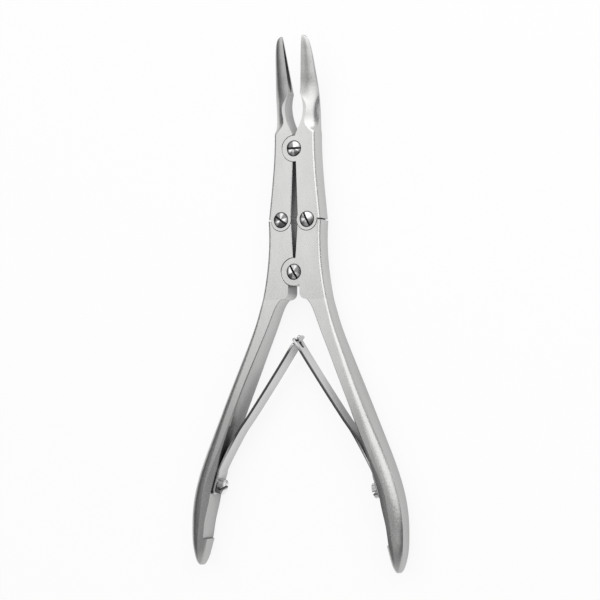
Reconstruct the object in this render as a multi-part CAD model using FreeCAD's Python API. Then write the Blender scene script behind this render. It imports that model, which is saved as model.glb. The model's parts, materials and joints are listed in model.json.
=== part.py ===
import FreeCAD, Part
import math
import os

# Double-action bone rongeur, lying on its back with the jaws open. All lengths are millimetres.
# While it is modelled, X is to the side, Y points to the jaws, Z is up out of the front face, and the
# origin is on the handle pivot at half thickness. The finished pieces are then moved so that the origin
# is under the middle of the tool, on the surface that it lies on.

# Linkage: four pivots make a kite. Squeezing the handles spreads the side pivots and shuts the jaws.
jaw_link_length = 25.4
handle_link_length = 18.9
side_pivot_offset = 5.0
jaw_half_opening = 5.4

# Flat boxed joint, two layers thick at every pivot
box_thickness = 7.3
lap_gap = 0.06
jaw_disc_gap = 0.07
lower_disc_gap = 0.13
jaw_disc_rim = 1.95
handle_disc_rim = 2.25
side_disc_rim = 1.15
slot_half_at_jaw_disc = 0.56
slot_half_at_side_pivots = 1.3
slot_half_at_handle_disc = 0.4
shoulder_slit = 0.6
shoulder_wall = 5.1
shoulder_step = 0.2
jaw_waist_hollow = 0.22
jaw_pivot_half_width = 7.95
handle_waist_half_width = 10.85
box_edge_round = 1.15
slot_edge_break = 0.28
round_edge_break = 0.12
crotch_drop = 4.6
crotch_round_across = 2.4
crotch_round_up = 2.3
crotch_half_gap = 2.2
forging_inset = 0.02

# Jaws, as distances from the jaw pivot towards the tips
plate_margin = 0.4
plate_taper = 0.08
heel_distance = 19.5
mouth_length = 19.8
bite_gap = 0.1
heel_gap = 0.45
neck_relief = 2.2
cup_wall = 0.45
cup_depth_share = 0.42
cup_end_margin = 0.8

# Handles, as distances below the handle pivot
handle_reach = 102.7
grip_half_depth = 5.45
grip_half_span = 40.5
seat_depth = 0.8
seat_stop = 9.2
seat_run_out = 14.0

# Pivot screws: slotted domed heads sunk in the front piece, shanks threaded into the rear piece
screw_head_radius = 2.65
screw_head_height = 1.5
screw_dome = 0.45
screw_shank_radius = 1.5
screw_slot_width = 0.7
screw_slot_depth = 0.9
head_clearance = 0.08
running_clearance = 0.05
thread_clearance = 0.02
screw_end_inset = 0.05
jaw_screw_slot_angle = 0.0
left_screw_slot_angle = -35.0
right_screw_slot_angle = -63.0
handle_screw_slot_angle = -59.0

# Leaf springs, hooked together on the middle plane
spring_thickness = 0.9
spring_width = 6.6
spring_seat_gap = 0.07
spring_pad_tail = 3.0
spring_pad_length = 7.0
spring_bend_run = 10.4
spring_bend_lift = 2.75
spring_bow = 0.25
spring_hook_distance = 24.1
prong_width = 2.2
prong_reach = 1.3
fork_slot_depth = 2.9
hook_clearance = 0.15
hook_neck_half_length = 0.85
hook_head_length = 1.5
hook_lip = 1.0

# Spring screws: slotted cheese heads
spring_screw_distance = 74.6
spring_screw_head_radius = 2.8
spring_screw_head_height = 1.7
spring_screw_shank_radius = 1.3
spring_screw_depth = 4.0
spring_screw_hole_margin = 0.2
spring_screw_slot_width = 0.7
spring_screw_slot_depth = 0.8

half_thickness = box_thickness / 2
jaw_disc_radius = screw_head_radius + jaw_disc_rim
handle_disc_radius = screw_head_radius + handle_disc_rim
side_disc_radius = screw_head_radius + side_disc_rim
shoulder_half_width = side_pivot_offset + shoulder_wall
crotch_depth = handle_disc_radius + crotch_drop
plate_end = jaw_disc_radius + plate_margin
jaw_reach = heel_distance + mouth_length
spring_pad_end = spring_screw_distance + spring_pad_tail
spring_lift_off = spring_screw_distance - spring_pad_length
seat_start = spring_lift_off - seat_run_out
seat_end = handle_reach - seat_stop
fork_slot_width = spring_width - 2 * prong_width
hook_head_width = fork_slot_width + 2 * hook_lip
side_pivot_y = math.sqrt(handle_link_length ** 2 - side_pivot_offset ** 2)
jaw_pivot_y = side_pivot_y + math.sqrt(jaw_link_length ** 2 - side_pivot_offset ** 2)
opening_slope = math.tan(math.radians(jaw_half_opening))
reach_above_plate = jaw_reach - plate_end
reach_below_crotch = handle_reach - crotch_depth

# Overlaps of the blocks that the pieces are made of, and how far a cut runs out of them
inside = 0.3
overcut = 1.0
beyond = 60.0

# Jaw beyond the plate: share of the way from the plate's end to the tip, then a size in millimetres.
# Sideways sizes are from the plane where the jaws meet when they are shut.
plate_end_half_width = jaw_pivot_half_width - plate_end * opening_slope - plate_taper
jaw_outer = [(0, plate_end_half_width), (0.15, 7.2), (0.3, 6.9), (0.45, 6.3), (0.65, 5.1), (0.85, 3.75),
             (0.945, 2.75), (0.985, 1.8), (1, 0.9)]
jaw_front = [(0, half_thickness), (0.26, half_thickness - 0.05), (0.45, 3.5), (0.65, 4.25), (0.85, 5.15),
             (0.96, 5.5), (1, 5.3)]
jaw_rear = [(0, -half_thickness), (0.15, -3.3), (0.3, -2.2), (0.45, -0.9), (0.65, 1.05), (0.85, 2.95),
            (0.96, 4.1), (1, 4.7)]

# Share of the jaw's width and height that the rounded back takes, and the hollow of the neck as shares of
# its length and of the relief
jaw_round_across = [(0, 0.16), (0.05, 0.32), (0.1, 0.52), (0.3, 0.55), (0.42, 0.9), (0.5, 1), (1, 1)]
jaw_round_front = [(0, 0.155), (0.1, 0.42), (0.3, 0.57), (1, 0.6)]
jaw_round_rear = [(0, 0.155), (0.1, 0.24), (0.3, 0.3), (1, 0.3)]
jaw_round_lean = [(0, 0), (0.1, 0.5), (0.3, 0.5), (0.6, 0.3), (1, 0.3)]
neck_hollow = [(0, 0.05), (0.15, 0.45), (0.31, 0.83), (0.59, 1), (0.85, 0.64)]
cup_fullness = [(0, 0.25), (0.12, 0.75), (0.3, 0.97), (0.5, 1), (0.7, 0.97), (0.88, 0.8), (1, 0.3)]

# Handle below the crotch: share of the way from the crotch to the end, then how far its outer side has
# spread from the crotch to the widest point, as a share, its width and half depth in millimetres, and the
# shares of them that the rounded outer and inner edges take
crotch_outer = 12.5
handle_spread = [(0, 0), (0.031, 0.029), (0.092, 0.092), (0.211, 0.25), (0.329, 0.418), (0.512, 0.683),
                 (0.628, 0.843), (0.746, 0.961), (0.848, 1), (0.919, 0.993), (0.964, 0.975), (0.99, 0.951),
                 (1, 0.928)]
handle_width = [(0, 7.85), (0.016, 6.75), (0.031, 6.3), (0.092, 5.67), (0.211, 5.24), (0.329, 5.15), (0.512, 5.74),
                (0.628, 6.35), (0.746, 6.6), (0.848, 5.5), (0.919, 4.5), (0.964, 3.6), (0.99, 2.3), (1, 1.2)]
handle_half_depth = [(0, half_thickness), (0.165, 4.4), (0.275, 5.1), (0.37, grip_half_depth), (0.55, 5.3),
                     (0.76, 4.85), (0.866, 4.5), (0.93, 4.2), (0.97, 3.5), (0.99, 2.6), (1, 1.4)]
handle_round_outer = [(0, 0.15), (0.1, 0.25), (0.2, 0.38), (0.34, 0.47), (0.6, 0.5), (0.93, 0.48), (1, 0.45)]
handle_round_inner = [(0, 0.045), (0.4, 0.06), (0.55, 0.22), (0.68, 0.42), (0.8, 0.46), (0.93, 0.46), (1, 0.45)]
handle_round_outer_depth = [(0, 0.31), (0.1, 0.32), (0.2, 0.33), (0.34, 0.34), (0.6, 0.35), (0.93, 0.4), (1, 0.7)]
handle_round_inner_depth = [(0, 0.08), (0.4, 0.08), (0.55, 0.17), (0.68, 0.3), (0.8, 0.35), (0.93, 0.42), (1, 0.7)]
handle_round_lean = [(0, 0), (0.35, 0.2), (0.6, 0.4), (0.93, 0.4), (1, 0.2)]

# How far the grip stands proud of the seat, as a share of the seat's depth
seat_fullness = [(0, 0), (0.4, 0), (0.6, 1), (0.7, 1.15), (0.8, 2), (0.86, 2), (0.905, 1.3), (1, 0)]


def vector(x, y, z=0.0):
    return FreeCAD.Vector(x, y, z)


def eased(points, at):
    """Height of the smooth curve through the points, which doesn't overshoot them."""
    steps = [(b[1] - a[1]) / (b[0] - a[0]) for a, b in zip(points, points[1:])]
    slopes = [steps[0]]
    for before, after in zip(steps, steps[1:]):
        same_way = before * after > 0
        slopes.append(2 * before * after / (before + after) if same_way else 0.0)
    slopes.append(steps[-1])
    at = min(max(at, points[0][0]), points[-1][0])
    i = max(k for k in range(len(points) - 1) if points[k][0] <= at)
    span = points[i + 1][0] - points[i][0]
    t = (at - points[i][0]) / span
    height = points[i][1] * (1 + 2 * t) * (1 - t) ** 2 + points[i + 1][1] * (3 - 2 * t) * t ** 2
    return height + span * (slopes[i] * t * (1 - t) ** 2 - slopes[i + 1] * (1 - t) * t ** 2)


def line(a, b):
    return Part.makeLine(a, b)


def curve(points):
    spline = Part.BSplineCurve()
    spline.interpolate(points)
    return spline.toShape()


def corner(start, tip, end, lean=0.0):
    """Quarter of an ellipse that rounds the corner at the tip. A lean flattens it towards a bevel."""
    pull = 0.5523
    bend = Part.BezierCurve()
    first = tip + (end - tip) * lean
    last = tip + (start - tip) * lean
    bend.setPoles([start, start + (first - start) * pull, end + (last - end) * pull, end])
    return bend.toShape()


def section(y, inner, outer, front, rear, outer_round, inner_round=None, lean=0.0):
    """Outline across the tool at one Y. A round is (across, at the front, at the rear); None is square."""
    front_corner = vector(inner, y, front)
    rear_corner = vector(inner, y, rear)
    across, at_front, at_rear = outer_round
    a = vector(outer - across, y, front)
    b = vector(outer, y, front - at_front)
    c = vector(outer, y, rear + at_rear)
    d = vector(outer - across, y, rear)
    edges = [corner(a, vector(outer, y, front), b, lean), line(b, c), corner(c, vector(outer, y, rear), d, lean)]
    if inner_round is None:
        return Part.Wire(edges + [line(d, rear_corner), line(rear_corner, front_corner), line(front_corner, a)])
    across, at_front, at_rear = inner_round
    e = vector(inner + across, y, rear)
    f = vector(inner, y, rear + at_rear)
    g = vector(inner, y, front - at_front)
    h = vector(inner + across, y, front)
    return Part.Wire(edges + [line(d, e), corner(e, rear_corner, f, lean), line(f, g),
                              corner(g, front_corner, h, lean), line(h, a)])


def slab(edges, low, high):
    """Flat outline in X and Y, thickened from one height to another."""
    face = Part.Face(Part.Wire(edges))
    face.translate(vector(0, 0, low))
    return face.extrude(vector(0, 0, high - low))


def disc(radius, x, y, low, high):
    return Part.makeCylinder(radius, high - low, vector(x, y, low))


def front_layer(radius, x, y):
    return disc(radius, x, y, lap_gap / 2, half_thickness)


def rear_layer(radius, x, y):
    return disc(radius, x, y, -half_thickness, -lap_gap / 2)


def room_for_front(radius, gap, x, y):
    return disc(radius + gap, x, y, -lap_gap / 2, half_thickness + overcut)


def room_for_rear(radius, gap, x, y):
    return disc(radius + gap, x, y, -half_thickness - overcut, lap_gap / 2)


def round_box_edges(plate, outer_limit):
    """Rounds the long outer edges of the front and back faces."""
    edges = []
    for edge in plate.Edges:
        middle = edge.valueAt((edge.FirstParameter + edge.LastParameter) / 2)
        long_edge = edge.Length > 4 * box_edge_round
        on_face = abs(abs(middle.z) - half_thickness) < 0.01
        if long_edge and on_face and middle.x > outer_limit and abs(edge.tangentAt(edge.FirstParameter).y) > 0.5:
            edges.append(edge)
    return plate.makeFillet(box_edge_round, edges)


def face_edges(body, kind):
    """Long edges of one kind that lie in the front and back faces."""
    edges = []
    for edge in body.Edges:
        span = edge.LastParameter - edge.FirstParameter
        heights = [edge.valueAt(edge.FirstParameter + span * k / 4).z for k in range(5)]
        on_face = all(abs(abs(height) - half_thickness) < 0.001 for height in heights)
        if edge.Curve.TypeId == kind and edge.Length > box_thickness / 2 and on_face:
            edges.append(edge)
    return edges


def with_broken_edges(body):
    """Chamfers the slot's edges on both faces, and more finely those of the discs and recesses."""
    sides = [edge for edge in face_edges(body, "Part::GeomLine") if abs(edge.tangentAt(edge.FirstParameter).y) > 0.5]
    body = body.makeChamfer(slot_edge_break, sides)
    rims = [edge for edge in face_edges(body, "Part::GeomCircle")
            if abs(edge.Curve.Radius - side_disc_radius) > 0.01]
    return body.makeChamfer(round_edge_break, rims)


# Jaws

def jaw_plate():
    bottom = side_pivot_y + shoulder_slit / 2
    top = jaw_pivot_y + plate_end
    waist = (bottom + jaw_pivot_y) / 2
    waist_half_width = (shoulder_half_width + jaw_pivot_half_width) / 2 - jaw_waist_hollow
    top_half_width = plate_end_half_width + plate_end * opening_slope
    outer = curve([vector(shoulder_half_width, bottom), vector(waist_half_width, waist),
                   vector(jaw_pivot_half_width, jaw_pivot_y), vector(top_half_width, top)])
    edges = [line(vector(0, bottom), vector(shoulder_half_width, bottom)), outer,
             line(vector(top_half_width, top), vector(0, top)), line(vector(0, top), vector(0, bottom))]
    return round_box_edges(slab(edges, -half_thickness, half_thickness), jaw_pivot_half_width / 2)


def jaw_blade():
    """The forged neck and blade, before the mouth and the neck's relief are cut."""
    wires = []
    for share in (0, 0.05, 0.1, 0.2, 0.3, 0.4, 0.5, 0.6, 0.7, 0.8, 0.88, 0.945, 0.985, 1):
        up = plate_end + share * reach_above_plate
        opened = up * opening_slope
        inset = forging_inset if share == 0 else 0
        outer = eased(jaw_outer, share) + opened - inset
        front = eased(jaw_front, share) - inset
        rear = eased(jaw_rear, share) + inset
        across = eased(jaw_round_across, share) * eased(jaw_outer, share)
        front_round = eased(jaw_round_front, share) * (front - rear)
        rear_round = eased(jaw_round_rear, share) * (front - rear)
        wires.append(section(jaw_pivot_y + up, opened - inside, outer, front, rear,
                             (across, front_round, rear_round), None, eased(jaw_round_lean, share)))
    return Part.makeLoft(wires, True, False)


def mouth_x(up):
    """Rim of the mouth at a distance above the jaw pivot, with the jaws open."""
    share = (up - heel_distance) / (jaw_reach - heel_distance)
    return heel_gap + share * (bite_gap - heel_gap) + up * opening_slope


def jaw_inside():
    """Everything between the jaws: the slot's side, the relieved neck and the mouth's plane."""
    hollow = []
    for share, depth in neck_hollow:
        up = plate_end + share * (heel_distance - plate_end)
        hollow.append(vector(depth * neck_relief + up * opening_slope, jaw_pivot_y + up))
    hollow.append(vector(mouth_x(heel_distance), jaw_pivot_y + heel_distance))
    slot_bottom = vector(slot_half_at_side_pivots, side_pivot_y)
    slot_top = vector(slot_half_at_jaw_disc, jaw_pivot_y - jaw_disc_radius + inside)
    above_tip = vector(mouth_x(jaw_reach + overcut), jaw_pivot_y + jaw_reach + overcut)
    far_bottom = vector(-beyond, slot_bottom.y)
    far_top = vector(-beyond, above_tip.y)
    edges = [line(far_bottom, slot_bottom), line(slot_bottom, slot_top), line(slot_top, hollow[0]),
             curve(hollow), line(hollow[-1], above_tip), line(above_tip, far_top), line(far_top, far_bottom)]
    return slab(edges, -beyond, beyond)


def jaw_cup():
    """The hollow of the spoon-shaped mouth."""
    wires = []
    for share, size in cup_fullness:
        up = heel_distance + cup_end_margin + share * (mouth_length - 2 * cup_end_margin)
        along = (up - plate_end) / reach_above_plate
        front = eased(jaw_front, along)
        rear = eased(jaw_rear, along)
        middle = (front + rear) / 2
        half_width = size * ((front - rear) / 2 - cup_wall)
        rim = mouth_x(up)
        depth = size * cup_depth_share * (eased(jaw_outer, along) + up * opening_slope - rim)
        y = jaw_pivot_y + up
        front_rim = vector(rim, y, middle + half_width)
        rear_rim = vector(rim, y, middle - half_width)
        front_lip = vector(rim - inside, y, front_rim.z)
        rear_lip = vector(rim - inside, y, rear_rim.z)
        bottom = vector(rim + depth, y, middle)
        wires.append(Part.Wire([corner(front_rim, vector(bottom.x, y, front_rim.z), bottom),
                                corner(bottom, vector(bottom.x, y, rear_rim.z), rear_rim),
                                line(rear_rim, rear_lip), line(rear_lip, front_lip), line(front_lip, front_rim)]))
    return Part.makeLoft(wires, True, False)


def front_screw_hole(x, y):
    shank = disc(screw_shank_radius + running_clearance, x, y, -half_thickness - overcut, half_thickness + overcut)
    seat = disc(screw_head_radius + head_clearance, x, y, half_thickness - screw_head_height,
                half_thickness + overcut)
    return shank.fuse(seat)


def rear_screw_hole(x, y):
    return disc(screw_shank_radius + thread_clearance, x, y, -half_thickness - overcut, half_thickness + overcut)


def jaw(disc_in_front):
    """The jaw on the +X side."""
    body = jaw_plate().fuse(jaw_blade()).cut(jaw_inside()).cut(jaw_cup())
    if disc_in_front:
        body = body.cut(room_for_rear(jaw_disc_radius, jaw_disc_gap, 0, jaw_pivot_y))
        body = body.fuse(front_layer(jaw_disc_radius, 0, jaw_pivot_y))
        body = body.cut(front_screw_hole(0, jaw_pivot_y))
    else:
        body = body.cut(room_for_front(jaw_disc_radius, jaw_disc_gap, 0, jaw_pivot_y))
        body = body.fuse(rear_layer(jaw_disc_radius, 0, jaw_pivot_y))
        body = body.cut(rear_screw_hole(0, jaw_pivot_y))
    body = body.cut(room_for_rear(side_disc_radius, lower_disc_gap, side_pivot_offset, side_pivot_y))
    body = body.fuse(front_layer(side_disc_radius, side_pivot_offset, side_pivot_y))
    body = body.cut(front_screw_hole(side_pivot_offset, side_pivot_y))
    return with_broken_edges(body.removeSplitter())


# Handles

def below(distance):
    """Share of the way from the crotch to the handle's end."""
    return (distance - crotch_depth) / reach_below_crotch


def handle_outer_x(share):
    return crotch_outer + eased(handle_spread, share) * (grip_half_span - crotch_outer)


def seat_x(distance):
    """Inner face of the handle, where the spring lies."""
    share = below(distance)
    return handle_outer_x(share) - eased(handle_width, share)


def handle_plate():
    top = side_pivot_y - shoulder_slit / 2
    shoulder = shoulder_half_width + shoulder_step
    outer = curve([vector(shoulder, top), vector(shoulder_half_width, top / 2),
                   vector(handle_waist_half_width, 0), vector(crotch_outer, -crotch_depth)])
    edges = [line(vector(0, top), vector(shoulder, top)), outer,
             line(vector(crotch_outer, -crotch_depth), vector(0, -crotch_depth)),
             line(vector(0, -crotch_depth), vector(0, top))]
    return round_box_edges(slab(edges, -half_thickness, half_thickness), crotch_half_gap)


def handle_grip():
    """The curved grip, full on its inner side until the seat is milled."""
    wires = []
    for share in (0, 0.016, 0.04, 0.08, 0.13, 0.2, 0.3, 0.4, 0.5, 0.6, 0.7, 0.8, 0.87, 0.93, 0.965, 0.988, 1):
        distance = crotch_depth + share * reach_below_crotch
        inset = forging_inset if share == 0 else 0
        inner = seat_x(distance) - seat_depth * eased(seat_fullness, share)
        outer = handle_outer_x(share) - inset
        half_depth = eased(handle_half_depth, share) - inset
        inner_round = eased(handle_round_inner, share) * (outer - inner)
        outer_round = eased(handle_round_outer, share) * (outer - inner)
        inner_depth = eased(handle_round_inner_depth, share) * half_depth
        outer_depth = eased(handle_round_outer_depth, share) * half_depth
        wires.append(section(-distance, inner, outer, half_depth, -half_depth,
                             (outer_round, outer_depth, outer_depth), (inner_round, inner_depth, inner_depth),
                             eased(handle_round_lean, share)))
    return Part.makeLoft(wires, True, False)


def handle_inside():
    """The slot's side and the rounded crotch between the handles."""
    far_top = vector(-beyond, side_pivot_y)
    slot_top = vector(slot_half_at_side_pivots, side_pivot_y)
    slot_bottom = vector(slot_half_at_handle_disc, handle_disc_radius - inside)
    crotch_top = vector(crotch_half_gap, -handle_disc_radius / 2)
    turn_start = vector(crotch_half_gap, -crotch_depth + crotch_round_up)
    turn_tip = vector(crotch_half_gap, -crotch_depth)
    turn_end = vector(crotch_half_gap + crotch_round_across, -crotch_depth)
    below_turn = vector(turn_end.x, -crotch_depth - overcut)
    far_bottom = vector(-beyond, below_turn.y)
    above = [far_top, slot_top, slot_bottom, crotch_top, turn_start]
    under = [turn_end, below_turn, far_bottom, far_top]
    edges = [line(a, b) for a, b in zip(above, above[1:])] + [corner(turn_start, turn_tip, turn_end)]
    return slab(edges + [line(a, b) for a, b in zip(under, under[1:])], -beyond, beyond)


def milled_seat():
    """Everything inside the flat that the spring lies on, down to the step near the handle's end."""
    steps = 12
    face = [vector(seat_x(seat_start + (seat_end - seat_start) * k / steps),
                   -seat_start - (seat_end - seat_start) * k / steps) for k in range(steps + 1)]
    far_top = vector(-beyond, -seat_start)
    far_bottom = vector(-beyond, -seat_end)
    edges = [line(far_top, face[0]), curve(face), line(face[-1], far_bottom), line(far_bottom, far_top)]
    return slab(edges, -beyond, beyond)


def seat_normal(distance):
    """Direction out of the +X handle's seat, towards the middle."""
    reach = 0.5
    slope = (seat_x(distance + reach) - seat_x(distance - reach)) / (2 * reach)
    return vector(-1, -slope).normalize()


def spring_screw_frame():
    """Point on the seat at the spring screw, and the direction out of it."""
    return vector(seat_x(spring_screw_distance), -spring_screw_distance), seat_normal(spring_screw_distance)


def handle(disc_in_front):
    """The handle on the +X side."""
    body = handle_plate().cut(handle_inside()).fuse(handle_grip()).cut(milled_seat())
    if disc_in_front:
        body = body.cut(room_for_rear(handle_disc_radius, lower_disc_gap, 0, 0))
        body = body.fuse(front_layer(handle_disc_radius, 0, 0))
        body = body.cut(front_screw_hole(0, 0))
    else:
        body = body.cut(room_for_front(handle_disc_radius, lower_disc_gap, 0, 0))
        body = body.fuse(rear_layer(handle_disc_radius, 0, 0))
        body = body.cut(rear_screw_hole(0, 0))
    body = body.cut(room_for_front(side_disc_radius, lower_disc_gap, side_pivot_offset, side_pivot_y))
    body = body.fuse(rear_layer(side_disc_radius, side_pivot_offset, side_pivot_y))
    body = body.cut(rear_screw_hole(side_pivot_offset, side_pivot_y))
    seat, outward = spring_screw_frame()
    hole_depth = spring_screw_depth + spring_screw_hole_margin
    hole = Part.makeCylinder(spring_screw_shank_radius + thread_clearance, hole_depth + overcut,
                             seat + outward * overcut, -outward)
    return with_broken_edges(body.cut(hole).removeSplitter())


# Screws

def pivot_screw(x, y, slot_angle):
    top = half_thickness + screw_dome
    head_bottom = half_thickness - screw_head_height + running_clearance
    head = disc(screw_head_radius, x, y, head_bottom, top)
    dome_radius = (screw_head_radius ** 2 + screw_dome ** 2) / (2 * screw_dome)
    head = head.common(Part.makeSphere(dome_radius, vector(x, y, top - dome_radius)))
    shank = disc(screw_shank_radius, x, y, -half_thickness + screw_end_inset, head_bottom + inside)
    slot = Part.makeBox(4 * screw_head_radius, screw_slot_width, 2 * screw_slot_depth,
                        vector(x - 2 * screw_head_radius, y - screw_slot_width / 2, top - screw_slot_depth))
    slot.rotate(vector(x, y), vector(0, 0, 1), slot_angle)
    return head.fuse(shank).cut(slot).removeSplitter()


def spring_screw():
    """Cheese-headed screw that holds the +X spring on its seat."""
    seat, outward = spring_screw_frame()
    under_head = seat + outward * (spring_thickness + 2 * spring_seat_gap)
    head = Part.makeCylinder(spring_screw_head_radius, spring_screw_head_height, under_head, outward)
    shank_length = spring_screw_depth + spring_thickness + 2 * spring_seat_gap + inside
    shank = Part.makeCylinder(spring_screw_shank_radius, shank_length, seat - outward * spring_screw_depth, outward)
    slot = Part.makeBox(4 * spring_screw_head_radius, spring_screw_slot_width, 2 * spring_screw_slot_depth,
                        vector(-2 * spring_screw_head_radius, -spring_screw_slot_width / 2,
                               spring_screw_head_height - spring_screw_slot_depth))
    slot.Placement = FreeCAD.Placement(under_head, FreeCAD.Rotation(vector(0, 0, 1), outward))
    return head.fuse(shank).cut(slot).removeSplitter()


# Leaf springs

def spring_bend():
    """Where the +X spring has left its seat and turned towards the middle."""
    distance = spring_lift_off - spring_bend_run
    return vector(seat_x(distance) - spring_bend_lift, -distance)


def spring_arm(share):
    """Point on the shallow bow of the +X spring, from its bend to the middle plane and past it."""
    hook = vector(0, -spring_hook_distance)
    chord = hook - spring_bend()
    inward = vector(-chord.y, chord.x).normalize()
    return spring_bend() + chord * share + inward * (4 * spring_bow * share * (1 - share))


def spring_direction():
    """Direction of the +X spring where it crosses the middle plane."""
    return (spring_arm(1) - spring_arm(0.95)).normalize()


def spring_strip(reach_past_middle):
    """The +X strip, from its pad on the handle to a distance past the middle plane."""
    lift = spring_thickness / 2 + spring_seat_gap
    path = []
    for k in range(5):
        distance = spring_pad_end + (spring_lift_off - spring_pad_end) * k / 4
        path.append(vector(seat_x(distance), -distance) + seat_normal(distance) * lift)
    path += [spring_arm(share) for share in (0.02, 0.2, 0.45, 0.75, 1)]
    path.append(spring_arm(1) + spring_direction() * reach_past_middle)
    spine = Part.BSplineCurve()
    spine.interpolate(path)
    steps = 40
    sides = ([], [])
    for k in range(steps + 1):
        at = spine.FirstParameter + (spine.LastParameter - spine.FirstParameter) * k / steps
        along = spine.tangent(at)[0]
        across = vector(-along.y, along.x).normalize() * (spring_thickness / 2)
        sides[0].append(spine.value(at) + across)
        sides[1].append(spine.value(at) - across)
    edges = [curve(sides[0]), line(sides[0][-1], sides[1][-1]), curve(sides[1][::-1]),
             line(sides[1][0], sides[0][0])]
    strip = slab(edges, -spring_width / 2, spring_width / 2)
    seat, outward = spring_screw_frame()
    hole = Part.makeCylinder(spring_screw_shank_radius + running_clearance, 4, seat - outward, outward)
    return strip.cut(hole)


def hook_block(start, end, low, high):
    """Block along the +X spring's end, from one distance past the middle plane to another."""
    block = Part.makeBox(end - start, 4 * spring_thickness, high - low,
                         vector(start, -2 * spring_thickness, low))
    block.Placement = FreeCAD.Placement(vector(0, -spring_hook_distance),
                                        FreeCAD.Rotation(vector(1, 0, 0), spring_direction()))
    return block


def forked_spring():
    slot = hook_block(-fork_slot_depth, prong_reach + overcut, -fork_slot_width / 2, fork_slot_width / 2)
    return spring_strip(prong_reach).cut(slot)


def hooked_spring():
    """Modelled on the +X side, and mirrored afterwards."""
    strip = spring_strip(hook_neck_half_length + hook_head_length)
    neck_half = fork_slot_width / 2 - hook_clearance
    for low, high in ((neck_half, spring_width), (-spring_width, -neck_half)):
        strip = strip.cut(hook_block(-hook_neck_half_length, hook_neck_half_length, low, high))
    for low, high in ((hook_head_width / 2, spring_width), (-spring_width, -hook_head_width / 2)):
        strip = strip.cut(hook_block(0, hook_neck_half_length + hook_head_length + overcut, low, high))
    return strip


def mirrored(shape):
    return shape.mirror(vector(0, 0), vector(1, 0))


def build():
    return {
        "left_jaw": mirrored(jaw(False)),
        "right_jaw": jaw(True),
        "left_handle": mirrored(handle(False)),
        "right_handle": handle(True),
        "jaw_pivot_screw": pivot_screw(0, jaw_pivot_y, jaw_screw_slot_angle),
        "left_link_screw": pivot_screw(-side_pivot_offset, side_pivot_y, left_screw_slot_angle),
        "right_link_screw": pivot_screw(side_pivot_offset, side_pivot_y, right_screw_slot_angle),
        "handle_pivot_screw": pivot_screw(0, 0, handle_screw_slot_angle),
        "left_spring": mirrored(hooked_spring()),
        "right_spring": forked_spring(),
        "left_spring_screw": mirrored(spring_screw()),
        "right_spring_screw": spring_screw(),
    }


def main():
    pieces = build()
    box = Part.makeCompound(list(pieces.values())).optimalBoundingBox(False, False)
    origin = vector(0, (box.YMin + box.YMax) / 2, box.ZMin)
    os.makedirs("parts", exist_ok=True)
    for name, shape in pieces.items():
        shape.translate(origin * -1)
        shape.exportStep("parts/" + name + ".step")
        print(name, shape.isValid(), len(shape.Solids), round(shape.Volume, 1))
    rest_angle = math.asin(side_pivot_offset / jaw_link_length)
    shut_offset = jaw_link_length * math.sin(rest_angle + math.radians(jaw_half_opening))
    handle_rest = math.asin(side_pivot_offset / handle_link_length)
    handle_swing = math.degrees(math.asin(shut_offset / handle_link_length) - handle_rest)
    print("overall", round(box.XLength, 2), round(box.YLength, 2), round(box.ZLength, 2))
    print("handle pivot", round(-origin.x, 4), round(-origin.y, 4), round(-origin.z, 4))
    print("side pivots", side_pivot_offset, round(side_pivot_y - origin.y, 4))
    print("jaw pivot", 0, round(jaw_pivot_y - origin.y, 4))
    print("handles close by", round(2 * handle_swing, 3), "jaws turn on them by",
          round(handle_swing + jaw_half_opening, 3))


main()
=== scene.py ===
import json
import math

import bmesh
import bpy
from mathutils import Matrix, Vector


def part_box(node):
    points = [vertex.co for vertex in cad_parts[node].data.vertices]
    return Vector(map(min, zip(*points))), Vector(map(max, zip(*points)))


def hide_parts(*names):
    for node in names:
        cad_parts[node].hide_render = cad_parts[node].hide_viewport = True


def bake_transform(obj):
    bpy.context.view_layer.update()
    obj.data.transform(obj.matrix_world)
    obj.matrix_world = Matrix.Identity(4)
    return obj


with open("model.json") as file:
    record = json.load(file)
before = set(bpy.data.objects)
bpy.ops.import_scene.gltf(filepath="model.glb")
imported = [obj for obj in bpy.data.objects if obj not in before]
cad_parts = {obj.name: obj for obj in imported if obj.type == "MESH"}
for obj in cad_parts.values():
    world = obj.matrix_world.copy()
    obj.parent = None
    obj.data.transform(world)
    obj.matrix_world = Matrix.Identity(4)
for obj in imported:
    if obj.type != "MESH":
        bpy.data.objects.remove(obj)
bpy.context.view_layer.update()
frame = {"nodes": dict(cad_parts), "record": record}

upwards = Vector((0, 0, 1))
lengthwise = Vector((0, 1, 0))
mm_per_metre = 1000

# The photograph's camera, worked out from the pivots and the straight edges of the joint.
# Angles are in degrees, and lengths in metres apart from the lens and the sensor.
camera_yaw = 26.0
camera_pitch = 3.13
camera_distance = 0.650
camera_lens = 111.8
camera_sensor = 36.0
camera_near = 0.01
camera_aim = Vector((0.00053, 0.00050, 0.00520))

# Floor, in metres, and the share of its look that is its own even white
floor_half_width = 4.0
floor_height = -0.0001
floor_paper = 0.9
floor_own_light = 0.88

# Room: its light from the horizon to overhead and from its sides to the tool's two ends, and over
# which part of that way it changes
overhead_light = (0.06, 0.5)
overhead_span = (0.1, 1.0)
endwise_light = (0.0, 0.85)
endwise_span = (0.15, 0.6)

# Softboxes: azimuth and lean in degrees, width and height in metres, and radiance
softbox_distance = 0.8
softboxes = {"overhead": (-26, 25, (0.8, 0.9), 0.93), "side": (38, 28, (0.92, 0.92), 1.5)}

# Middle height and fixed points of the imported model, in metres
middle_z = 0.0054443
left_clamp = Vector((-0.0318, -0.06446, middle_z))
hook = Vector((0.0, -0.01396, middle_z))

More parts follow.
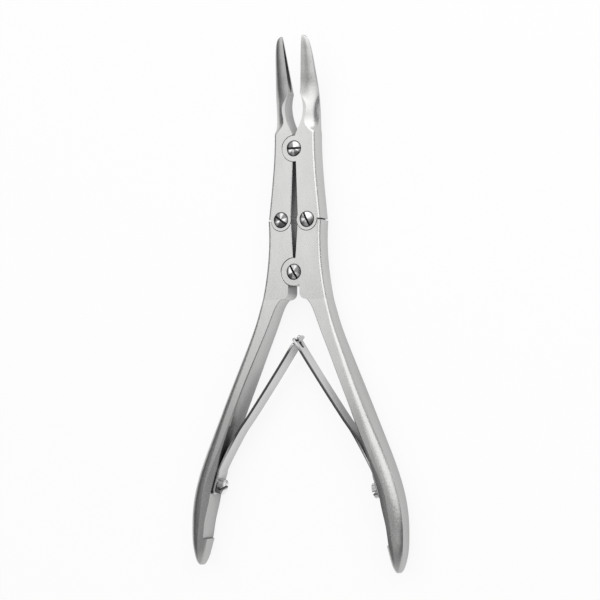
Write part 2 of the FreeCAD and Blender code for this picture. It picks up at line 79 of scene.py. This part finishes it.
# Leaf springs, in millimetres. The centre line is the right spring's, from its tail to the middle plane.
spring_line = [(32.03, -67.57), (31.43, -65.1), (30.71, -62.62), (29.92, -60.12), (29.12, -57.62),
               (22.65, -46.41), (18.37, -40.54), (12.52, -32.31), (5.63, -22.35), (0.0, -13.96)]
spring_thickness = 0.9
spring_half_width = 3.3
spring_edge = 0.2
slot_half_width = 1.1
slot_depth = 2.9
prong_reach = 1.35
neck_half_width = 0.95
neck_half_length = 0.85
head_half_width = 2.1
head_reach = 2.4
hook_corner = 0.6

# Mesh of the springs: points on their line, rounding of their rims, and cuts across, in millimetres
points_per_run = 8
past_middle = 5
edge_segments = 3
round_profile = 0.5
same_height = 0.01
first_cut = 0.6
cut_step = 0.8
cut_before_slot = 0.2
cut_before_neck = 0.8
even_weight = 100

# Texture scales along X, Y and Z, per metre, each with its detail
scratches_grain = ((9000.0, 260.0, 9000.0), 4.0)
fine_grain = ((6000.0, 2500.0, 6000.0), 2.0)
clouds_grain = ((160.0, 60.0, 160.0), 2.0)
rings_grain = ((9000.0, 9000.0, 9000.0), 2.0)
# This noise lays out the screw heads' painted reflection sectors.
painted_reflection_grain = ((0.9, 0.9, 0.9), 0.0)
usual_noise = (0.3, 0.7)

# Brushed steel: how the scratches and clouds change the tone, and the relief's depth in metres
scratches_share = 0.6
tone_span = (0.5, 1.1)
roughness_swing = 0.05
brushed_depth = 0.00004

# Painted shade in crevices: how far round a point they are looked for, in metres, and how dark they get
crevice_samples = 4
crevice_span = (0.1, 0.85)
steel_crevices = (0.008, 0.16)
slot_crevices = (0.001, 0.5)

# Painted shade along Y: where it changes, in metres, and how much darker the grips and the blades are
grip_span = (-0.025, 0.01)
blade_span = (0.063, 0.073)
grip_shade = 0.82
blade_shade = 0.82

# Painted dark reflection along the springs' long edges: tone, width inwards from the edge, and where it
# ends, in metres
edge_reflection_tone = 0.13
edge_inner = 0.0003
edge_outer = 0.0001
hook_fade = (-0.004, -0.001)
pad_fade = (0.009, 0.019)

# Turned screw heads: painted reflection tones, roughness, anisotropy, and depths and widths in metres
painted_reflection_tones = ((0.22, 0.22, 0.22), (0.85, 0.85, 0.85))
painted_reflection_span = (0.4, 0.54)
painted_reflection_shift = 400
head_roughness = (0.12, 0.22)
head_anisotropy = 0.5
rings_strength = 0.2
rings_depth = 0.00003
rim_inner = 0.0005
rim_outer = 0.0001
slot_roughness = 0.6
slot_overlap = 0.00003
# The rim and slot tones are painted shade on the heads.
pivot_head = dict(head_radius=0.00265, slot_width=0.0007, rim_shade_tone=0.25, slot_shade_tone=0.08)
spring_head = dict(head_radius=0.0028, slot_width=0.0007, rim_shade_tone=0.7, slot_shade_tone=0.3)

# How the pivot screws' slots lie, in degrees from X, and for the right spring's screw its own axis and
# the direction across its slot
slot_angles = {"jaw_pivot_screw": 0.0, "left_link_screw": -35.0, "right_link_screw": -63.0,
               "handle_pivot_screw": -59.0}
seat_normal = Vector((-0.96317, -0.26891, 0.0))
across_spring_slot = Vector((-0.2590, 0.9277, 0.2689))


# Nodes

def add(tree, kind, **values):
    """A node with its properties set, and its input sockets where the name is a socket's."""
    node = tree.nodes.new(kind)
    for name, value in values.items():
        if name in node.inputs:
            node.inputs[name].default_value = value
        else:
            setattr(node, name, value)
    return node


def join(tree, source, target):
    """Feeds a socket from another one, or sets it to a plain value."""
    if isinstance(source, bpy.types.NodeSocket):
        tree.links.new(source, target)
    else:
        target.default_value = source


def maths(tree, operation, *terms):
    node = add(tree, "ShaderNodeMath", operation=operation)
    for term, socket in zip(terms, node.inputs):
        join(tree, term, socket)
    return node.outputs[0]


def vector_maths(tree, operation, *terms):
    node = add(tree, "ShaderNodeVectorMath", operation=operation)
    for term, socket in zip(terms, node.inputs):
        join(tree, term, socket)
    return node.outputs["Value" if operation in ("LENGTH", "DOT_PRODUCT") else "Vector"]


def axes(tree, place):
    parts = add(tree, "ShaderNodeSeparateXYZ")
    join(tree, place, parts.inputs[0])
    return parts.outputs[0], parts.outputs[1], parts.outputs[2]


def ranged(tree, source, low, high, from_low=0.0, from_high=1.0):
    """Runs from low to high while the source runs through its own span."""
    node = add(tree, "ShaderNodeMapRange")
    node.inputs["From Min"].default_value = from_low
    node.inputs["From Max"].default_value = from_high
    node.inputs["To Min"].default_value = low
    node.inputs["To Max"].default_value = high
    join(tree, source, node.inputs["Value"])
    return node.outputs[0]


def noise(tree, place, scale, detail):
    """Noise with its own scale along each axis."""
    stretch = add(tree, "ShaderNodeMapping")
    stretch.inputs["Scale"].default_value = scale
    join(tree, place, stretch.inputs["Vector"])
    texture = add(tree, "ShaderNodeTexNoise", Scale=1.0, Detail=detail)
    join(tree, stretch.outputs[0], texture.inputs["Vector"])
    return texture.outputs[0]


def toned(tree, share, dark, light):
    """Colour between a dark and a light one."""
    tone = add(tree, "ShaderNodeMix", data_type="RGBA")
    tone.inputs[6].default_value = (*dark, 1)
    tone.inputs[7].default_value = (*light, 1)
    join(tree, share, tone.inputs[0])
    return tone.outputs[2]


def crevice_shade(tree, reach, darkest):
    """Painted shade: falls from 1 to the darkest value where other surfaces stand close round a point."""
    shade = add(tree, "ShaderNodeAmbientOcclusion", samples=crevice_samples)
    shade.inputs["Distance"].default_value = reach
    return ranged(tree, shade.outputs["AO"], darkest, 1.0, *crevice_span)


def shaded(tree, colour, factor, shader):
    """Gives a shader its base colour, darkened by a factor."""
    darkened = add(tree, "ShaderNodeVectorMath", operation="SCALE")
    join(tree, colour, darkened.inputs[0])
    join(tree, factor, darkened.inputs["Scale"])
    join(tree, darkened.outputs[0], shader.inputs["Base Color"])


def relieved(tree, height, strength, depth, shader):
    """Gives a shader a relief."""
    relief = add(tree, "ShaderNodeBump", Strength=strength, Distance=depth)
    join(tree, height, relief.inputs["Height"])
    join(tree, relief.outputs[0], shader.inputs["Normal"])


def mixed(tree, share, first, second, surface):
    """Joins two shaders to the output, the second one by its share."""
    both = add(tree, "ShaderNodeMixShader")
    join(tree, share, both.inputs[0])
    join(tree, first.outputs[0], both.inputs[1])
    join(tree, second.outputs[0], both.inputs[2])
    join(tree, both.outputs[0], surface)


# Materials

def new_material(name):
    """A material, its empty node tree and the socket for its surface."""
    material = bpy.data.materials.new(name)
    material.use_nodes = True
    tree = material.node_tree
    tree.nodes.clear()
    return material, tree, add(tree, "ShaderNodeOutputMaterial").inputs[0]


def painted_shade_along_tool(tree, place):
    """Painted shade: the blades and the grips are a little darker than the box."""
    y = axes(tree, place)[1]
    grips = ranged(tree, y, grip_shade, 1.0, *grip_span)
    blades = ranged(tree, y, 1.0, blade_shade, *blade_span)
    return maths(tree, "MULTIPLY", grips, blades)


def painted_edge_reflection(tree, place):
    """Painted dark reflection along the long edges of a leaf spring's free run, but not at its two ends."""
    y, z = axes(tree, place)[1:]
    across = maths(tree, "ABSOLUTE", maths(tree, "SUBTRACT", z, middle_z))
    edge = spring_half_width / mm_per_metre
    dark_reflection = ranged(tree, across, 1.0, edge_reflection_tone, edge - edge_inner, edge - edge_outer)
    bright_hook = ranged(tree, y, 0.0, 1.0, *[hook.y + fade for fade in hook_fade])
    bright_pad = ranged(tree, y, 1.0, 0.0, *[left_clamp.y + fade for fade in pad_fade])
    return maths(tree, "MAXIMUM", dark_reflection, maths(tree, "MAXIMUM", bright_hook, bright_pad))


def steel(name, dark, light, roughness, bump, painted_shading):
    """Brushed metal: fine scratches along Y over a soft grain, with painted shade in its crevices and the
    painted shading it is given.
    """
    material, tree, surface = new_material(name)
    shader = add(tree, "ShaderNodeBsdfPrincipled", Metallic=1.0)
    join(tree, shader.outputs[0], surface)
    place = add(tree, "ShaderNodeTexCoord").outputs["Object"]
    scratches = noise(tree, place, *scratches_grain)
    grain = noise(tree, place, *fine_grain)
    clouds = noise(tree, place, *clouds_grain)
    cast = maths(tree, "MULTIPLY_ADD", scratches, scratches_share, clouds)
    colour = toned(tree, ranged(tree, cast, 0.0, 1.0, *tone_span), dark, light)
    # Painted shade: crevices and the given painted shading darken the base colour.
    crevice_darkening = crevice_shade(tree, *steel_crevices)
    shaded(tree, colour, maths(tree, "MULTIPLY", crevice_darkening, painted_shading(tree, place)), shader)
    rough = ranged(tree, grain, roughness - roughness_swing, roughness + roughness_swing, *usual_noise)
    join(tree, rough, shader.inputs["Roughness"])
    relieved(tree, maths(tree, "ADD", scratches, grain), bump, brushed_depth, shader)
    return material


def turned_steel(name, centre, axis, across_slot, head_radius, slot_width, rim_shade_tone, slot_shade_tone):
    """Polished screw head. Turning marks spread the reflections out from the centre, light and dark sectors
    round it are painted reflection, painted shade darkens its rim, and the slot is rough and darkened with
    painted shade.
    """
    material, tree, surface = new_material(name)
    shader = add(tree, "ShaderNodeBsdfPrincipled", Metallic=1.0, Anisotropic=head_anisotropy)
    place = add(tree, "ShaderNodeTexCoord").outputs["Object"]
    outward = vector_maths(tree, "SUBTRACT", place, centre)
    around = vector_maths(tree, "CROSS_PRODUCT", outward, axis)
    join(tree, around, shader.inputs["Tangent"])
    radius = vector_maths(tree, "LENGTH", around)
    direction = vector_maths(tree, "NORMALIZE", around)
    # Painted reflection: light and dark sectors round the head's centre, in its base colour.
    painted_reflection = noise(tree, vector_maths(tree, "ADD", direction, centre * painted_reflection_shift), *painted_reflection_grain)
    rings = noise(tree, radius, *rings_grain)
    colour = toned(tree, ranged(tree, painted_reflection, 0.0, 1.0, *painted_reflection_span), *painted_reflection_tones)
    # Painted shade: the head darkens towards its rim.
    rim = ranged(tree, radius, 1.0, rim_shade_tone, head_radius - rim_inner, head_radius - rim_outer)
    shaded(tree, colour, rim, shader)
    join(tree, ranged(tree, rings, *head_roughness, *usual_noise), shader.inputs["Roughness"])
    relieved(tree, rings, rings_strength, rings_depth, shader)

    # Painted shade: the slot is rough and darkened, the more where its walls stand close.
    shaded_slot = add(tree, "ShaderNodeBsdfPrincipled", Metallic=1.0, Roughness=slot_roughness)
    shaded(tree, ranged(tree, rings, slot_shade_tone / 2, slot_shade_tone), crevice_shade(tree, *slot_crevices), shaded_slot)
    distance = maths(tree, "ABSOLUTE", vector_maths(tree, "DOT_PRODUCT", outward, across_slot))
    in_slot = maths(tree, "LESS_THAN", distance, slot_width / 2 + slot_overlap)
    mixed(tree, in_slot, shader, shaded_slot, surface)
    return material


def screw_steel(name):
    """Turned steel about a screw's own axis, with its rough part, darkened with painted shade, along the
    screw's own slot.
    """
    low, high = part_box(name)
    centre = (low + high) / 2
    if name.endswith("spring_screw"):
        flip = Vector((1 if name.startswith("right") else -1, 1, 1))
        axis, across = seat_normal * flip, across_spring_slot * flip
        return turned_steel(name + "_steel", centre, axis, across, **spring_head)
    across = Matrix.Rotation(math.radians(slot_angles[name]), 3, "Z") @ lengthwise
    return turned_steel(name + "_steel", centre, upwards, across, **pivot_head)


def paint(node, material):
    mesh = frame["nodes"][node].data
    mesh.materials.clear()
    mesh.materials.append(material)


# Leaf springs

def smooth_line(points, per_run):
    """Points of the smooth curve through the given ones."""
    first = 2 * points[0] - points[1]
    last = 2 * points[-1] - points[-2]
    padded = [first] + points + [last]
    line = []
    for a, b, c, d in zip(padded, padded[1:], padded[2:], padded[3:]):
        for k in range(per_run):
            t = k / per_run
            line.append(0.5 * (2 * b + (c - a) * t + (2 * a - 5 * b + 4 * c - d) * t ** 2
                               + (3 * b - a - 3 * c + d) * t ** 3))
    return line + [points[-1]]


def spring_path():
    """The springs' centre line, carried on past the middle plane, and its points' way from that plane."""
    line = smooth_line([Vector(p) for p in spring_line], points_per_run)
    last_run = (line[-1] - line[-2]).normalized()
    line.append(line[-1] + last_run * past_middle)
    along = [0.0]
    for a, b in zip(line, line[1:]):
        along.append(along[-1] + (b - a).length)
    middle = along[-2]
    return line, [s - middle for s in along]


def arc(x, y, radius, start, end, steps=6):
    """Points round part of a circle, in degrees."""
    turn = [math.radians(start + (end - start) * k / steps) for k in range(steps + 1)]
    return [(x + radius * math.cos(a), y + radius * math.sin(a)) for a in turn]


def fork_outline(tail):
    """Right spring laid flat: along it from the middle plane, and across it."""
    w = spring_half_width
    r = (w - slot_half_width) / 2
    outline = arc(tail + r, w - r, r, 180, 90) + arc(prong_reach - r, w - r, r, 90, -90)
    outline += arc(-slot_depth + slot_half_width, 0, slot_half_width, 90, 270)
    return outline + arc(prong_reach - r, r - w, r, 90, -90) + arc(tail + r, r - w, r, 270, 180)


def hook_outline(tail):
    """Left spring laid flat, with a neck and a head that the fork holds."""
    w = spring_half_width
    r = hook_corner
    outline = arc(tail + r, w - r, r, 180, 90) + arc(-neck_half_length - r, w - r, r, 90, 0)
    outline += [(-neck_half_length, neck_half_width), (neck_half_length, neck_half_width)]
    outline += arc(neck_half_length + r, head_half_width - r, r, 180, 90)[1:]
    outline += arc(head_reach - r, head_half_width - r, r, 90, 0)
    return outline + [(x, -y) for x, y in reversed(outline)]


def flat_strip(outline, tail, last_cut):
    """A spring laid flat with its rims rounded, and cut across up to its shaped end so that it can bend."""
    mesh = bmesh.new()
    face = mesh.faces.new([mesh.verts.new((s, w, -spring_thickness / 2)) for s, w in outline])
    grown = bmesh.ops.extrude_face_region(mesh, geom=[face])["geom"]
    raised = [v for v in grown if isinstance(v, bmesh.types.BMVert)]
    bmesh.ops.translate(mesh, verts=raised, vec=(0, 0, spring_thickness))
    rims = [e for e in mesh.edges if abs(e.verts[0].co.z - e.verts[1].co.z) < same_height]
    bmesh.ops.bevel(mesh, geom=rims, offset=spring_edge, segments=edge_segments, profile=round_profile,
                    affect="EDGES")
    at = tail + first_cut
    while at < last_cut:
        parts = mesh.verts[:] + mesh.edges[:] + mesh.faces[:]
        bmesh.ops.bisect_plane(mesh, geom=parts, plane_co=(at, 0, 0), plane_no=(1, 0, 0))
        at += cut_step
    bmesh.ops.recalc_face_normals(mesh, faces=mesh.faces)
    return mesh


def lay_along(mesh, line, along, mirror):
    """Bends a flat strip along the springs' centre line, in metres, for the left side if mirrored."""
    for vert in mesh.verts:
        s, w, t = vert.co
        i = max(k for k in range(len(along) - 1) if along[k] <= s or k == 0)
        share = (s - along[i]) / (along[i + 1] - along[i])
        here = line[i].lerp(line[i + 1], share)
        before = (line[i + 1] - line[max(i - 1, 0)]).normalized()
        after = (line[min(i + 2, len(line) - 1)] - line[i]).normalized()
        run = before.lerp(after, share).normalized()
        x = here.x - run.y * t
        place = Vector((-x if mirror else x, here.y + run.x * t, middle_z * mm_per_metre + w))
        vert.co = place / mm_per_metre
    # Known fault: both springs' faces end up pointing inwards. This belongs where mirror is False.
    if mirror:
        bmesh.ops.reverse_faces(mesh, faces=mesh.faces)


def spring(name, outline_of, last_cut, mirror):
    """Leaf spring bent along the springs' centre line from its clamp to the hook, shown instead of the
    imported one.
    """
    line, along = spring_path()
    tail = along[0]
    mesh = flat_strip(outline_of(tail), tail, last_cut)
    lay_along(mesh, line, along, mirror)
    data = bpy.data.meshes.new(name)
    mesh.to_mesh(data)
    mesh.free()
    data.shade_smooth()
    data.materials.append(sprung)
    piece = linked(name, data)
    evened = piece.modifiers.new("evened", "WEIGHTED_NORMAL")
    evened.weight = even_weight
    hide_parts(name)
    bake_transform(piece)


# Studio

def linked(name, data):
    """An object in the scene's own collection."""
    made = bpy.data.objects.new(name, data)
    bpy.context.scene.collection.objects.link(made)
    return made


def direction(azimuth, lean):
    """Unit vector, in degrees from overhead towards +X and from there towards the jaws."""
    azimuth, lean = math.radians(azimuth), math.radians(lean)
    return Vector((math.sin(azimuth) * math.cos(lean), math.sin(lean), math.cos(azimuth) * math.cos(lean)))


def facing(back):
    """Rotation whose Z axis points back, away from what is faced, with the jaws at the top."""
    right = lengthwise.cross(back).normalized()
    return Matrix((right, back.cross(right), back)).transposed().to_4x4()


def make_camera():
    data = bpy.data.cameras.new("camera")
    data.lens = camera_lens
    data.sensor_width = camera_sensor
    data.clip_start = camera_near
    camera = linked("camera", data)
    back = direction(camera_yaw, -camera_pitch)
    camera.matrix_world = Matrix.Translation(camera_aim + back * camera_distance) @ facing(back)
    bpy.context.scene.camera = camera


def make_floor():
    """White paper. The camera and reflections see part of it as its own even white, and the rest as lit."""
    mesh = bpy.data.meshes.new("floor")
    w = floor_half_width
    mesh.from_pydata([(-w, -w, 0), (w, -w, 0), (w, w, 0), (-w, w, 0)], [], [(0, 1, 2, 3)])
    floor = linked("floor", mesh)
    floor.location.z = floor_height
    material, tree, surface = new_material("floor_paper")
    paper = add(tree, "ShaderNodeBsdfDiffuse", Color=(floor_paper, floor_paper, floor_paper, 1))
    white = add(tree, "ShaderNodeEmission", Color=(1, 1, 1, 1), Strength=1.0)
    rays = add(tree, "ShaderNodeLightPath").outputs
    seen = maths(tree, "MAXIMUM", rays["Is Camera Ray"], rays["Is Glossy Ray"])
    seen = maths(tree, "MAXIMUM", seen, rays["Is Transmission Ray"])
    mixed(tree, maths(tree, "MULTIPLY", seen, floor_own_light), paper, white, surface)
    mesh.materials.append(material)


def make_world():
    """A room that is dim to the left and right, and paler overhead and beyond the tool's two ends."""
    world = bpy.data.worlds.new("studio")
    bpy.context.scene.world = world
    world.use_nodes = True
    tree = world.node_tree
    tree.nodes.clear()
    sky = add(tree, "ShaderNodeBackground")
    join(tree, sky.outputs[0], add(tree, "ShaderNodeOutputWorld").inputs[0])
    y, z = axes(tree, add(tree, "ShaderNodeTexCoord").outputs["Generated"])[1:]
    overhead = ranged(tree, z, *overhead_light, *overhead_span)
    endwise = ranged(tree, maths(tree, "ABSOLUTE", y), *endwise_light, *endwise_span)
    join(tree, maths(tree, "MAXIMUM", overhead, endwise), sky.inputs["Strength"])


def make_softbox(name, azimuth, lean, size, radiance):
    """Lit panel that faces the object."""
    data = bpy.data.lights.new(name, "AREA")
    data.shape = "RECTANGLE"
    data.size, data.size_y = size
    data.energy = radiance * math.pi * size[0] * size[1]
    back = direction(azimuth, lean)
    lamp = linked(name, data)
    lamp.matrix_world = Matrix.Translation(back * softbox_distance) @ facing(back)


# The satin steel's grips and blades are darkened with painted shade.
satin = steel("satin_steel", dark=(0.53, 0.53, 0.525), light=(0.6, 0.6, 0.595), roughness=0.3, bump=0.12,
              painted_shading=painted_shade_along_tool)
# The spring steel's long edges get a painted dark reflection.
sprung = steel("spring_steel", dark=(0.54, 0.54, 0.54), light=(0.62, 0.62, 0.62), roughness=0.24, bump=0.1,
               painted_shading=painted_edge_reflection)
for part in frame["record"]["subparts"]:
    if part["node"].endswith("_screw"):
        paint(part["node"], screw_steel(part["node"]))
    elif part["material_slot"] == "satin_steel":
        paint(part["node"], satin)

spring("right_spring", fork_outline, last_cut=-slot_depth - cut_before_slot, mirror=False)
spring("left_spring", hook_outline, last_cut=-neck_half_length - cut_before_neck, mirror=True)

make_camera()
make_floor()
make_world()
for name, values in softboxes.items():
    make_softbox(name, *values)

bpy.context.scene.view_settings.view_transform = "Standard"
